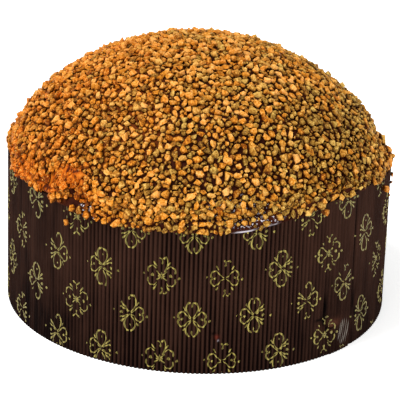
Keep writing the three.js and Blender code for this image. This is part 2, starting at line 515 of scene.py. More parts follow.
def rise(tree, mask, low, high, top=1.0):
    """0 where the mask is low, rising to the top where it is high."""
    return ramp(tree, mask, (low, (0, 0, 0)), (high, (top, top, top)))


def maths(tree, operation, *values, clamp=False):
    """The result of a maths node over numbers and sockets."""
    node = new_node(tree, "ShaderNodeMath")
    node.operation = operation
    node.use_clamp = clamp
    for socket, value in zip(node.inputs, values):
        feed(tree, socket, value)
    return node.outputs[0]


def line(tree, value, slope, base, clamp=False):
    """The value times the slope, plus the base."""
    return maths(tree, "MULTIPLY_ADD", value, slope, base, clamp=clamp)


def total(tree, *values, clamp=False):
    """The sum of the values."""
    first, *middle, last = values
    for value in middle:
        first = maths(tree, "ADD", first, value)
    return maths(tree, "ADD", first, last, clamp=clamp)


def bell(tree, *squares):
    """1 where the squares of the distances are 0, fading out round there."""
    away = total(tree, *squares) if len(squares) > 1 else squares[0]
    return maths(tree, "EXPONENT", maths(tree, "MULTIPLY", away, -1.0))


def blend_colours(tree, factor, first, second):
    """A mix of two colours, each given as a socket or as three numbers."""
    node = new_node(tree, "ShaderNodeMix")
    node.data_type = "RGBA"
    feed(tree, node.inputs[0], factor)
    for socket, colour in ((node.inputs[6], first), (node.inputs[7], second)):
        feed(tree, socket, colour if isinstance(colour, bpy.types.NodeSocket) else (*colour, 1))
    return node.outputs[2]


def use_group(tree, name, **inputs):
    """The outputs of a shader group placed in a tree with its own values."""
    group = {"node_tree": bpy.data.node_groups[name]}
    return add_node(tree, "ShaderNodeGroup", group, **inputs).outputs


def new_material(name, blotch, grain, **shader_inputs):
    """A material, its tree, the object coordinates that its patterns read, and its mottle."""
    material = bpy.data.materials.new(name)
    material.use_nodes = True
    tree = material.node_tree
    for key, value in shader_inputs.items():
        tree.nodes["Principled BSDF"].inputs[key.replace("_", " ")].default_value = value
    place = new_node(tree, "ShaderNodeTexCoord").outputs["Object"]
    mottle = use_group(tree, "Mottle", Vector=place, Blotch_Scale=blotch, Grain_Scale=grain)
    return material, tree, place, mottle


def finish(material, colour, rough, bump=None):
    """Links the colour, the roughness and the bump.

    Roughness is given as a mask, how much it adds and the least roughness. The bump is given
    as its pattern, strength and depth.
    """
    tree = material.node_tree
    shader = tree.nodes["Principled BSDF"]
    tree.links.new(colour, shader.inputs["Base Color"])
    tree.links.new(line(tree, *rough), shader.inputs["Roughness"])
    if bump:
        pattern, strength, depth = bump
        node = add_node(tree, "ShaderNodeBump", Height=pattern, Strength=strength, Distance=depth)
        tree.links.new(node.outputs["Normal"], shader.inputs["Normal"])
    return material


# Shader groups

VECTOR = "NodeSocketVector"
FLOAT = "NodeSocketFloat"


def group_tree(name, inputs, outputs):
    """An empty shader node group with its sockets, given as (name, kind, default)."""
    tree = bpy.data.node_groups.new(name, "ShaderNodeTree")
    for label, kind, default in inputs:
        socket = tree.interface.new_socket(name=label, in_out="INPUT", socket_type=kind)
        if default is not None:
            socket.default_value = default
    for label, kind in outputs:
        tree.interface.new_socket(name=label, in_out="OUTPUT", socket_type=kind)
    return tree, tree.nodes.new("NodeGroupInput").outputs, tree.nodes.new("NodeGroupOutput").inputs


def mottle_group():
    """Two noises of different size, for blotches and for fine grain."""
    tree, given, made = group_tree(
        "Mottle",
        [("Vector", VECTOR, None), ("Blotch Scale", FLOAT, 60.0), ("Grain Scale", FLOAT, 900.0)],
        [("Blotch", FLOAT), ("Grain", FLOAT)],
    )
    for label, detail, rough in (("Blotch", 4.0, 0.55), ("Grain", 3.0, 0.6)):
        pattern = add_node(
            tree,
            "ShaderNodeTexNoise",
            Vector=given["Vector"],
            Scale=given[f"{label} Scale"],
            Detail=detail,
            Roughness=rough,
        )
        tree.links.new(pattern.outputs["Fac"], made[label])


def flute_group():
    """Crest: 1 on the crests of the flutes and 0 in their valleys. Side: 1 where they fade."""
    tree, given, made = group_tree(
        "Flutes",
        [("Vector", VECTOR, None), ("Count", FLOAT, 280.0)],
        [("Crest", FLOAT), ("Side", FLOAT), ("Bearing", FLOAT), ("Height", FLOAT)],
    )
    parts = add_node(tree, "ShaderNodeSeparateXYZ", Vector=given["Vector"]).outputs
    south = maths(tree, "MULTIPLY", parts["Y"], -1.0)
    bearing = maths(tree, "ARCTAN2", parts["X"], south)
    wave = maths(tree, "COSINE", maths(tree, "MULTIPLY", bearing, given["Count"]))
    away = maths(tree, "SUBTRACT", maths(tree, "ABSOLUTE", bearing), math.radians(FLAT_BEARING))
    away = maths(tree, "DIVIDE", away, math.radians(FADE_HALF))
    side = bell(tree, maths(tree, "MULTIPLY", away, away))
    crest = line(tree, wave, 0.5, 0.5)
    results = {"Crest": crest, "Side": side, "Bearing": bearing, "Height": parts["Z"]}
    for label, value in results.items():
        tree.links.new(value, made[label])


def spot_group():
    """1 at a place on the band, fading out round it."""
    sides = (("Bearing", "At Bearing", "Half Width"), ("Height", "At Height", "Half Height"))
    sizes = [(name, FLOAT, 1.0) for side in sides for name in side]
    tree, given, made = group_tree("Spot", sizes, [("Mask", FLOAT)])
    squares = []
    for place, middle, half in sides:
        away = maths(tree, "SUBTRACT", given[place], given[middle])
        away = maths(tree, "DIVIDE", away, given[half])
        squares.append(maths(tree, "MULTIPLY", away, away))
    tree.links.new(bell(tree, *squares), made["Mask"])


def spot(tree, flutes, bearing, height, wide, tall):
    """Mask of a spot on the band or the lip, given by its place and its half width and height."""
    return use_group(
        tree,
        "Spot",
        Bearing=flutes["Bearing"],
        Height=flutes["Height"],
        At_Bearing=math.radians(bearing),
        At_Height=height,
        Half_Width=math.radians(wide),
        Half_Height=tall,
    )["Mask"]


# Materials

# Bearing in degrees, height in metres, half width in degrees, half height and colour of each
# mark on the band: a reddish patch by the crack, painted shade in the crack and its tears and
# along the joint and its bend, and at the nick painted shade, a reddish fleck and a painted highlight
MARKS_AND_PAINTED_LIGHT = (
    (43.5, 16.5 * MM, 3.5, 2.6 * MM, srgb(78, 46, 34)),
    # Painted shade in the crack, its tears, the joint, its bend and the nick
    (40.9, 27.0 * MM, 0.7, 8.0 * MM, srgb(5, 3, 3)),
    (40.3, 20.5 * MM, 0.9, 6.0 * MM, srgb(5, 3, 3)),
    (41.8, 15.0 * MM, 0.8, 4.0 * MM, srgb(8, 5, 4)),
    (38.6, 21.2 * MM, 1.6, 0.9 * MM, srgb(12, 7, 6)),
    (43.4, 14.6 * MM, 1.8, 0.7 * MM, srgb(10, 6, 5)),
    (52.7, 58.0 * MM, 0.6, 32.0 * MM, srgb(14, 8, 7)),
    (53.4, 24.0 * MM, 0.6, 7.0 * MM, srgb(14, 8, 7)),
    (54.9, 17.0 * MM, 0.7, 4.0 * MM, srgb(16, 10, 8)),
    (5.6, 22.2 * MM, 0.7, 0.8 * MM, srgb(10, 5, 5)),
    (6.5, 20.2 * MM, 0.6, 1.2 * MM, srgb(92, 38, 28)),
    # Painted highlight at the nick
    (6.9, 18.2 * MM, 0.25, 0.5 * MM, srgb(160, 150, 156)),
)
# Bearing, height, half width in degrees and half height of the crushed flutes beside the joint
CRUSHED = (49.2, 9.8 * MM, 2.5, 6.4 * MM)
WORN_LINES = 380.0  # in a whole turn, where the flutes are crushed
WORN_PAPER = srgb(116, 108, 100)


def worn_crests(tree, flutes):
    """A mask of thin bowed lines, worn pale, where the flutes are crushed."""
    _, middle, _, tall = CRUSHED
    up = maths(tree, "DIVIDE", maths(tree, "SUBTRACT", flutes["Height"], middle), tall)
    bow = line(tree, maths(tree, "MULTIPLY", up, up), 2.6, maths(tree, "MULTIPLY", up, -3.6))
    turn = line(tree, flutes["Bearing"], WORN_LINES, bow)
    crests = rise(tree, maths(tree, "COSINE", turn), 0.25, 0.8)
    return maths(tree, "MULTIPLY", crests, rise(tree, spot(tree, flutes, *CRUSHED), 0.25, 0.45))


def paper_material(paper):
    """Brown paper with painted light and shade: paler on its crests and to its right, darker in valleys
    and at its foot.
    """
    material, tree, place, mottle = new_material(
        "Brown corrugated paper", 45.0, 1400.0, Specular_IOR_Level=0.01
    )
    flutes = use_group(tree, "Flutes", Vector=place, Count=float(paper.flutes))
    fibres = upright_noise(tree, place, 900.0, 3.0, 0.1)
    bands = upright_noise(tree, place, 210.0, 2.0, 0.1)
    # Painted light on the crests and painted shade in the valleys, where the flutes show
    crest = maths(tree, "POWER", flutes["Crest"], line(tree, bands, -2.4, 1.9))
    # Where the flutes fade: the bands, and painted light that grows towards the right side
    even = line(tree, bands, 1.2, line(tree, flutes["Bearing"], 0.16, -0.02))
    lit = line(tree, maths(tree, "SUBTRACT", even, crest), flutes["Side"], crest)
    patchy = line(tree, mottle["Blotch"], 0.6, -0.3)
    fibrous = line(tree, fibres, 0.5, -0.25)
    # Painted shade, darker towards the foot of the band
    lower = maths(tree, "MINIMUM", line(tree, flutes["Height"], 9.0, -0.4), 0.0)
    tone = total(tree, lit, patchy, fibrous, lower, clamp=True)
    colour = blend_colours(tree, tone, paper.valley, paper.paper)
    for *where, mark in MARKS_AND_PAINTED_LIGHT:
        colour = blend_colours(tree, spot(tree, flutes, *where), colour, mark)
    colour = blend_colours(tree, worn_crests(tree, flutes), colour, WORN_PAPER)
    grain = total(tree, mottle["Grain"], fibres)
    return finish(material, colour, (mottle["Blotch"], 0.25, 0.65), (grain, 0.25, 0.12 * MM))


def gold_material(paper):
    """Gold ink, darker in the valleys of the flutes and where they fade, as painted shade."""
    material, tree, place, mottle = new_material(
        "Gold ink", 220.0, 1500.0, Metallic=0.25, Specular_IOR_Level=0.5
    )
    flutes = use_group(tree, "Flutes", Vector=place, Count=float(paper.flutes))
    wear_and_side_shade = line(tree, mottle["Grain"], 0.5, -0.1)
    # Painted shade where the flutes fade at the sides
    wear_and_side_shade = line(tree, flutes["Side"], -0.35, wear_and_side_shade)
    # Painted light on the crests and painted shade in the valleys
    tone = line(tree, flutes["Crest"], 0.65, wear_and_side_shade, clamp=True)
    colour = blend_colours(tree, tone, [0.3 * c for c in paper.gold], paper.gold)
    return finish(material, colour, (mottle["Blotch"], 0.2, 0.38))


# Bearing, height, half width in degrees, half height and strength of each caramel stain
STAINS = ((-63, 80 * MM, 18, 5 * MM, 1.0), (-60, 114 * MM, 45, 20 * MM, 0.5))
# Bearing, height, half width in degrees and half height of each patch of painted glints on the
# chocolate
PAINTED_GLINT_PATCHES = ((-32, 79.5 * MM, 3.5, 4 * MM), (14, 85 * MM, 12, 7 * MM))
STAIN = srgb(132, 62, 16)
# Painted highlight, for glints
PAINTED_GLINT = srgb(206, 200, 208)


def chocolate_material(coat):
    """Dull chocolate, stained by caramel on the left, with painted highlights as glints along its lower
    edge.
    """
    material, tree, place, mottle = new_material(
        "Dark chocolate", 120.0, 520.0, Specular_IOR_Level=0.02
    )
    dark = [0.5 * c for c in coat.chocolate]
    bloom = [min(1, 1.7 * c) for c in coat.chocolate]
    colour = ramp(tree, mottle["Blotch"], (0.3, dark), (0.55, coat.chocolate), (0.8, bloom))
    band = use_group(tree, "Flutes", Vector=place)
    for *where, strength in STAINS:
        stain = rise(tree, spot(tree, band, *where), 0.2, 0.45, strength)
        colour = blend_colours(tree, stain, colour, STAIN)
    # Painted highlights: specks over the glint patches, and the streaks along the bead
    specks = add_node(tree, "ShaderNodeTexNoise", Vector=place, Scale=820.0, Detail=2.0)
    specks = rise(tree, specks.outputs["Fac"], 0.58, 0.62)
    painted_glint = attribute(tree, "bead")
    for where in PAINTED_GLINT_PATCHES:
        patch = rise(tree, spot(tree, band, *where), 0.3, 0.5)
        painted_glint = maths(tree, "MAXIMUM", painted_glint, maths(tree, "MULTIPLY", patch, specks))
    colour = blend_colours(tree, painted_glint, colour, PAINTED_GLINT)
    return finish(material, colour, (mottle["Grain"], 0.2, 0.5), (mottle["Grain"], 0.6, 0.7 * MM))


# Colours of a granule where it is dark, in the middle, and where it is pale
AMBER = (srgb(130, 62, 10), srgb(214, 136, 36), srgb(244, 178, 98))
SMOKED = (srgb(74, 46, 18), srgb(146, 109, 42), srgb(212, 174, 88))
MELTED = (srgb(98, 34, 2), srgb(202, 98, 8), srgb(240, 156, 66))
# Chocolate smear at the feet of the granules, also painted shade between them
SMEAR_AND_SHADE = srgb(50, 17, 5)
# Painted highlight
PAINTED_SPARKLE = srgb(255, 214, 122)


def granule_material():
    """Caramel whose tone, smokiness and melt come from each granule's own attributes.

    The foot of each granule is smeared with chocolate, which also stands for painted shade between
    them, more on the right and less up high. Crowns are painted light, and specks near the top painted
    highlights.
    """
    material, tree, place, mottle = new_material(
        "Caramel granules", 900.0, 1700.0, Specular_IOR_Level=0.03
    )
    tone, smoke, melt, top = (attribute(tree, name) for name in ("tone", "smoke", "melt", "top"))
    blotch = line(tree, mottle["Blotch"], 2.4, -1.2)
    # Painted light: the crown of each granule is lighter, less so where it melted
    lit_crown = maths(tree, "MULTIPLY", line(tree, top, 0.45, -0.385), line(tree, melt, -0.6, 1.0))
    varied = total(tree, tone, blotch, lit_crown, clamp=True)
    amber, smoked, melted = (
        ramp(tree, varied, *zip((0.0, 0.5, 1.0), colours)) for colours in (AMBER, SMOKED, MELTED)
    )
    colour = blend_colours(tree, melt, blend_colours(tree, smoke, amber, smoked), melted)
    parts = add_node(tree, "ShaderNodeSeparateXYZ", Vector=place).outputs
    # The smear is also painted shade: less up high, more on the right side, and less again at the right
    # rim
    high = line(tree, parts["Z"], 3.0, -0.3, clamp=True)
    right = line(tree, parts["X"], 1.0, -0.02, clamp=True)
    right = maths(tree, "MINIMUM", right, line(tree, parts["X"], -25.0, 2.35))
    uneven = line(tree, mottle["Grain"], 0.5, -0.25)
    unsmeared_and_lit = rise(tree, total(tree, top, uneven, maths(tree, "SUBTRACT", high, right)), 0.52, 0.76)
    unsmeared_and_lit = maths(tree, "MAXIMUM", unsmeared_and_lit, maths(tree, "MULTIPLY", melt, 0.3))
    colour = blend_colours(tree, unsmeared_and_lit, SMEAR_AND_SHADE, colour)
    # Painted highlights on specks near the top of each granule
    painted_spark = rise(tree, mottle["Grain"], 0.57, 0.66)
    painted_spark = maths(tree, "MULTIPLY", painted_spark, line(tree, top, 2.0, -1.3, clamp=True))
    colour = blend_colours(tree, painted_spark, colour, PAINTED_SPARKLE)
    pits = total(tree, mottle["Grain"], mottle["Blotch"])
    return finish(material, colour, (mottle["Grain"], 0.4, 0.3), (pits, 0.5, 0.35 * MM))


BURNT_CARAMEL = srgb(72, 26, 6)
PALE_CARAMEL = srgb(218, 128, 36)


def melted_material(coat):
    """Clear caramel, streaked down the flank and burnt in blotches."""
    material, tree, place, mottle = new_material(
        "Melted caramel", 110.0, 700.0, Specular_IOR_Level=0.06
    )
    streaks = line(tree, upright_noise(tree, place, 460.0, 2.0, 0.16), 1.0, -0.5)
    tone = total(tree, mottle["Blotch"], streaks)
    colour = ramp(tree, tone, (0.32, BURNT_CARAMEL), (0.47, coat.melted), (0.72, PALE_CARAMEL))
    return finish(material, colour, (mottle["Grain"], 0.3, 0.5), (tone, 0.3, 0.5 * MM))


def crumb_material():
    """Yellow crumb with patches of brown crust."""
    material, tree, _, mottle = new_material("Loaf crumb", 80.0, 420.0, Specular_IOR_Level=0.3)
    colour = ramp(tree, mottle["Blotch"], (0.3, srgb(126, 70, 28)), (0.7, srgb(226, 184, 112)))
    return finish(material, colour, (mottle["Grain"], 0.2, 0.7), (mottle["Grain"], 0.6, 0.8 * MM))


def floor_material(stage):
    """A pale floor that glows a little, to come out white."""
    material, tree, _, mottle = new_material(
        "Pale floor",
        3.0,
        60.0,
        Specular_IOR_Level=0.2,
        Emission_Color=(1, 1, 1, 1),
        Emission_Strength=0.55,
    )
    paler = [min(1, 1.04 * c) for c in stage.floor]
    colour = ramp(tree, mottle["Blotch"], (0.3, stage.floor), (0.7, paler))
    return finish(material, colour, (mottle["Grain"], 0.1, 0.6))


# Paper case

BAND_COLUMNS = 6  # across each flute
BAND_ROWS = 24
BAND_THICK = 1.6 * MM
BASE_SEGMENTS = 180
BASE_GAP = 0.15 * MM  # to the inside of the band
BASE_THICK = 1.2 * MM
# Underside of the base, from its edge inwards: share of its radius, and height in millimetres
BASE_PROFILE = (
    (1.0, 0.5),
    (0.97, 0.15),
    (0.92, 0.15),
    (0.9, 0.55),
    (0.6, 0.55),
    (0.58, 0.2),
    (0.55, 0.2),
    (0.53, 0.55),
)


def fluted_band(paper):
    """The corrugated band: a tall ring, fluted outside, smooth inside, cut along the rim."""
    inner = paper.radius - BAND_THICK
    top = CASE_HIGH[2]
    rings = [(inner, 0.0)]
    rings += [(paper.radius, top * i / BAND_ROWS) for i in range(BAND_ROWS + 1)]
    rings += [(inner, top), (inner, 0.0)]
    band = ring_body("fluted_band", paper.flutes * BAND_COLUMNS, rings)

    def shape(points):
        radius = radius_of(points)
        bearing = bearings_of(points)
        height = points[:, 2] * rim_height(bearing) / top
        outer = radius > paper.radius - BAND_THICK / 2
        share = np.where(outer, wall_radius(bearing, height, paper), radius) / radius
        return np.stack([points[:, 0] * share, points[:, 1] * share, height], -1)

    sculpt(band, shape)
    smooth(band, degrees=70)
    return band


def case_base(paper):
    """The pressed disc that closes the band, with a raised edge and two pressed rings."""
    edge = paper.radius - BAND_THICK - BASE_GAP
    rings = [(share * edge, height * MM) for share, height in reversed(BASE_PROFILE)]
    top = rings[-1][1] + BASE_THICK
    rings += [(edge, top), (0.9 * edge, top)]
    base = ring_body("case_base", BASE_SEGMENTS, rings, rings[0][1], top)
    smooth(base, degrees=50)
    return base


# Gold print

# Bearing of some columns of the print. Those between are evenly spaced.
PRINT_COLUMNS = (-7, -6, -5, -4, 0, 2, 3, 4, 5, 6, 7, 8, 33)
PRINT_BEARINGS = (-63, -53.7, -43.9, -36.3, -0.7, 17, 25, 33.6, 41, 48, 58, 67.5, 297)
# The band rides up towards its glued end, and the print with it.
RISE_BEARINGS = (-63, 8, 25, 34, 42, 48, 58, 68, 150, 297)
RISE_HEIGHTS = (0, 0, 2.5, 4.4, 5.0, 8.0, 7.6, 9.1, 4.0, 0)
PRINT_PERIOD = 44.6 * MM
PRINT_ROWS = range(-1, 3)
PRINT_SEED = 5
PRINT_STARTS = (29.6 * MM, 7.2 * MM)  # height of the first flower, in even and in odd columns
PRINT_FOOT = 0.8 * MM  # bare paper below and above the print
PRINT_HEAD = 0.6 * MM
PRINT_LIFT = 0.12 * MM
PRINT_WIDTHS = (0.42, 1.05)  # millimetres, at the thin and the thick end of a stroke
PRINT_SAMPLE = 0.42  # millimetres along a stroke
STROKE_STEPS = 12  # from corner to corner of a stroke
DOT_SIDES = 10

# Strokes in millimetres from the middle of a flower. "x" repeats a stroke from left to right
# and "y" from top to bottom. A stroke runs from its thin end to its thick one, and a dot has a
# place and a radius. The upper parts are turned over for the lower ones, and the right parts
# for the left ones: loop, hooked loop, hooks, arch, fork and curl, then heart, rays and lobes.
UPPER_PARTS = {
    "L": (
        ("", (-0.2, 0.6), (-2.0, 2.8), (-3.0, 5.8), (-2.3, 8.6), (-0.6, 9.6)),
        ("", (0.1, 0.5), (1.6, 2.8), (2.6, 6.0), (1.8, 8.4), (0.1, 9.6)),
        ("dot", 0.1, 6.3, 0.5),
    ),
    "H": (
        ("x", (0.4, 0.8), (1.6, 2.6), (2.7, 4.6), (2.9, 6.6), (2.1, 8.4), (1.0, 9.2)),
        ("", (1.0, 9.3), (0.3, 8.6), (0.0, 7.6), (0.0, 6.4)),
    ),
    "J": (
        ("", (0.3, 0.8), (1.7, 2.6), (2.9, 5.4), (2.7, 8.2), (1.2, 9.8), (-0.4, 9.3)),
        ("", (-0.5, 9.0), (-0.9, 8.2), (-0.4, 7.2)),
    ),
    "j": (
        ("", (-0.3, 0.8), (-1.7, 2.6), (-2.9, 5.4), (-2.7, 8.2), (-1.2, 9.8), (0.4, 9.3)),
        ("", (0.6, 2.2), (1.7, 4.8), (2.2, 8.0), (1.7, 10.6)),
    ),
    "A": (
        ("", (2.9, 7.0), (2.8, 8.8), (2.0, 10.0), (0.9, 9.2)),
        ("", (2.9, 7.0), (2.5, 5.0), (1.6, 2.2)),
        ("", (-1.1, 9.7), (0.0, 8.7), (0.4, 7.6), (0.1, 6.2)),
    ),
    "Y": (
        ("", (0.0, 8.3), (0.0, 7.4), (0.0, 6.4)),
        ("x", (0.1, 7.8), (0.9, 8.5), (2.0, 9.7)),
        ("dot", 0.0, 6.3, 0.62),
    ),
    "C": (
        ("dot", 0.2, 6.7, 0.6),
        ("", (0.3, 7.0), (0.4, 8.2), (-0.6, 9.6)),
        ("", (1.0, 8.8), (1.8, 9.4), (2.8, 8.2)),
    ),
}
SIDE_PARTS = {
    "h": (
        ("y", (0.5, 0.3), (2.2, 1.6), (3.6, 3.3), (5.1, 4.0), (6.5, 2.8), (6.8, 1.2), (6.1, 0.2)),
        ("y", (3.3, 4.6), (3.8, 5.6), (4.4, 6.4)),
        ("dot", 4.9, 0.0, 0.62),
    ),
    "r": (
        ("y", (0.6, 0.9), (3.0, 3.4), (5.0, 5.4)),
        ("y", (1.0, 0.7), (3.5, 2.3), (5.4, 2.9)),
        ("dot", 4.7, -0.2, 0.8),
    ),
    "b": (
        ("y", (2.5, 3.6), (3.6, 4.9), (5.3, 5.0), (6.8, 3.4), (6.7, 1.4)),
        ("y", (2.4, 4.8), (3.2, 6.2), (4.2, 7.4)),
        ("y", (1.2, 1.0), (1.9, 1.8), (2.6, 2.4)),
        ("dot", 4.5, 0.2, 0.85),
    ),
}
OUTER_DOTS = (("dot", 8.7, -0.8, 0.68), ("dot", -8.8, 0.5, 0.5))
STAR = (
    ("xy", (0.2, 0.2), (0.7, 0.7), (1.2, 1.2)),
    ("x", (0.3, 0.0), (1.0, 0.0), (1.7, 0.0)),
    ("y", (0.0, 0.3), (0.0, 1.0), (0.0, 1.8)),
)
# Parts of the flowers of each column, from the left of the front on: upper, right, lower and
# left, and a star in the middle
FLOWERS = ("CrCh", "LrJh", "JhLr", "YbYb*", "Lrjh", "JhLr", "AbCb*", "HhHh",
           "ChCh", "HrHh", "LrLh", "JhCr", "YbYh*", "CrLh", "Lhjr", "YbYr*")
MIRRORS = {
    "": ((1, 1),),
    "x": ((1, 1), (-1, 1)),
    "y": ((1, 1), (1, -1)),
    "xy": ((1, 1), (-1, 1), (1, -1), (-1, -1)),
}


def smooth_stroke(corners):
    """Points at even steps along a Catmull-Rom curve through the corners."""
    corners = np.array(corners, float)
    ends = [2 * corners[0] - corners[1], *corners, 2 * corners[-1] - corners[-2]]
    path = []
    for a, b, c, d in zip(ends, ends[1:], ends[2:], ends[3:]):
        for t in np.linspace(0, 1, STROKE_STEPS, endpoint=False):
            path.append(0.5 * (2 * b + (c - a) * t + (2 * a - 5 * b + 4 * c - d) * t**2
                               + (3 * b - a - 3 * c + d) * t**3))
    path = np.array([*path, corners[-1]])
    run = np.append(0, np.cumsum(np.linalg.norm(np.diff(path, axis=0), axis=1)))
    steps = np.linspace(0, run[-1], max(3, int(run[-1] / PRINT_SAMPLE)))
    return np.stack([np.interp(steps, run, path[:, 0]), np.interp(steps, run, path[:, 1])], 1)


def ribbon(path, widths):
    """A flat stroke that swells to a round end: points in rows of three, and faces."""
    along = np.gradient(path, axis=0)
    along /= np.linalg.norm(along, axis=1)[:, None]
    side = np.stack([-along[:, 1], along[:, 0]], 1)
    share = np.linspace(0, 1, len(path))
    half = 0.5 * (widths[0] + (widths[1] - widths[0]) * share**1.6)
    half *= np.clip((1.04 - share) / 0.12, 0, 1) ** 0.5
    rows = np.stack([path - side * half[:, None], path, path + side * half[:, None]], 1)
    start = 3 * np.arange(len(path) - 1)
    quads = [start[:, None] + np.array(corner) for corner in ((0, 1, 4, 3), (1, 2, 5, 4))]
    return rows.reshape(-1, 2), np.concatenate(quads)


def dot(place, radius):
    """A round dot: two rings of points and a middle one."""
    turn = np.linspace(0, 2 * math.pi, DOT_SIDES, endpoint=False)
    ring = radius * np.stack([np.cos(turn), np.sin(turn)], 1)
    points = np.concatenate([place + 0.5 * ring, place + ring, [place]])
    inner = np.arange(DOT_SIDES)
    after = (inner + 1) % DOT_SIDES
    outer = np.stack([inner, inner + DOT_SIDES, after + DOT_SIDES, after], 1)
    even = inner[::2]
    middle = np.stack([np.full(len(even), 2 * DOT_SIDES), even, even + 1, after[1::2]], 1)
    return points, np.concatenate([outer, middle])


def motif(code, random):
    """Flat points and faces of one flower, in millimetres from its middle."""
    upper, right, lower, left = code[:4]
    parts = [(UPPER_PARTS[upper], (1, 1)), (UPPER_PARTS[lower], (1, -1))]
    parts += [(SIDE_PARTS[right], (1, 1)), (SIDE_PARTS[left], (-1, 1)), (OUTER_DOTS, (1, 1))]
    if code.endswith("*"):
        parts.append((STAR, (1, 1)))
    points, faces = [], []
    count = 0
    for strokes, turn in parts:
        for kind, *stroke in strokes:
            if kind == "dot":
                shapes = [dot(np.array(stroke[:2]), stroke[2])]
            else:
                path = smooth_stroke(stroke)
                widths = np.array(PRINT_WIDTHS) * random.uniform(0.9, 1.1)
                shapes = [ribbon(path * mirror, widths) for mirror in MIRRORS[kind]]
            for flat, quads in shapes:
                points.append(flat * turn)
                faces.append(quads + count)
                count += len(flat)
    return np.concatenate(points), np.concatenate(faces)


def print_places():
    """Bearing, height and kind of every flower, whole or cut by the base or the rim."""
    places = []
    for column in range(PRINT_COLUMNS[0], PRINT_COLUMNS[-1]):
        degrees = np.interp(column, PRINT_COLUMNS, PRINT_BEARINGS)
        first = PRINT_STARTS[column % 2] + np.interp(degrees, RISE_BEARINGS, RISE_HEIGHTS) * MM
        kind = FLOWERS[(column - PRINT_COLUMNS[0]) % len(FLOWERS)]
        for row in PRINT_ROWS:
            places.append((math.radians(degrees), first + row * PRINT_PERIOD, kind))
    return places


def gold_print(paper):
    """Thin raised flowers that follow the flutes."""
    random = np.random.default_rng(PRINT_SEED)
    points, faces = [], []
    count = 0
    for bearing, height, kind in print_places():
        flat, quads = motif(kind, random)
        turn = bearing + flat[:, 0] * MM / paper.radius
        up = height + flat[:, 1] * MM
        keep = (up > PRINT_FOOT) & (up < rim_height(turn) - PRINT_HEAD)
        whole = keep[quads].all(axis=1)
        if not whole.any():
            continue
        used, new = np.unique(quads[whole], return_inverse=True)
        turn, up = turn[used], up[used]
        points.append(around(turn, wall_radius(turn, up, paper) + PRINT_LIFT, up))
        faces.append(new.reshape(-1, 4) + count)
        count += len(used)
    flowers = mesh_piece("gold_flowers", np.concatenate(points), np.concatenate(faces))
    pick(flowers)
    bpy.ops.object.mode_set(mode="EDIT")
    bpy.ops.mesh.select_all(action="SELECT")
    bpy.ops.mesh.normals_make_consistent(inside=False)
    bpy.ops.object.mode_set(mode="OBJECT")
    return flowers


# Chocolate coat

COAT_SEGMENTS = 360
COAT_ROWS = 84
COAT_FOOT = math.radians(84)  # how far down the dome's round part goes
COAT_RADIUS = 100 * MM  # about, at the skirt below it
LOAF_SHOULDER = 72 * MM
LOAF_RISE = 61.5 * MM
LOAF_RADIUS = 98.4 * MM
LOAF_ANGLES = (6, 18, 30, 42, 54, 66, 76, 82)  # degrees down from the top
LOAF_GAP = 0.5 * MM
# The rings of the dome and of the lip are first stacked well apart, which tells them from the
# inner ones, and then moved to their places
DOME_STACK = 1.0  # metre
LIP_STACK = 2 * MM

# Bearing, half width in degrees and brightness of each painted highlight streak along the bead of the
# lip
BEAD_GLINTS = ((13.2, 2.6, 0.9), (17.9, 0.5, 0.7), (19.9, 0.8, 0.45), (21.9, 0.9, 0.4))
BEAD_RINGS = (3, 4)  # of the lip's section
# Section of the lip: share of its stand-out from the case, and height above its lower edge
LIP_SECTION = (
    (-0.9, 0.5),
    (-0.3, 0.05),
    (0.5, 0.0),
    (1.2, 0.25),
    (1.4, 0.7),
    (1.0, 1.15),
    (0.5, 1.5),
    (0.3, 3.8),
    (-0.6, 5.0),
)


def chocolate_coat(coat, paper):
    """The coat as a shell: up the inside of the dome, under the lip and back over the outside."""
    rings = []
    for angle in np.radians(LOAF_ANGLES):
        height = LOAF_SHOULDER + LOAF_RISE * math.cos(angle) ** DOME_POWER
        rings.append((LOAF_RADIUS * math.sin(angle), height + LOAF_GAP))
    first_pole = rings[0][1] + LOAF_GAP
    rings += [(COAT_RADIUS, -LIP_STACK * (i + 1)) for i in range(len(LIP_SECTION))]
    for angle in np.linspace(COAT_FOOT, 0, COAT_ROWS, endpoint=False):
        rings.append((DOME_RADIUS * math.sin(angle), dome_height(angle) + DOME_STACK))
    body = ring_body("chocolate_coat", COAT_SEGMENTS, rings, first_pole, dome_height(0) + DOME_STACK)
    stacked = points_of(body)
    order = np.round(-stacked[:, 2] / LIP_STACK).astype(int) - 1

    def shape(points):
        bearing = bearings_of(points)
        angle = np.arcsin(np.clip(radius_of(points) / DOME_RADIUS, 0, 1))
        place, normal = domed(angle, bearing, -coat.sink)
        lumps = 0.35 * roughly(place, 5 * MM) + 0.3 * roughly(place, 2.2 * MM, 4.0) - 0.3
        place += normal * (lumps * MM)[:, None]
        is_lip = points[:, 2] < 0
        is_dome = points[:, 2] > DOME_STACK
        new = leaned(points)
        new[is_dome] = place[is_dome]
        new[is_lip] = lip_points(bearing[is_lip], order[is_lip], coat, paper)
        return new

    sculpt(body, shape)
    smooth(body)
    # Painted highlight streaks along the bead, kept in the bead attribute
    degrees = np.degrees(bearings_of(points_of(body)))
    painted_glint = sum(size * hill(degrees, at, wide) for at, wide, size in BEAD_GLINTS)
    bead = body.data.attributes.new("bead", "FLOAT", "POINT").data
    bead.foreach_set("value", painted_glint * np.isin(order, BEAD_RINGS))
    return body


LIP_GAP = 0.2 * MM  # least distance of the lip's outer rings from the case
LIP_DEPTH = 1.4 * MM  # of its inner rings, for each unit of their section
TUCK_IN = 3.1 * MM  # how far inside the case and below the rim the coat ends elsewhere
TUCK_UNDER = 2.5 * MM


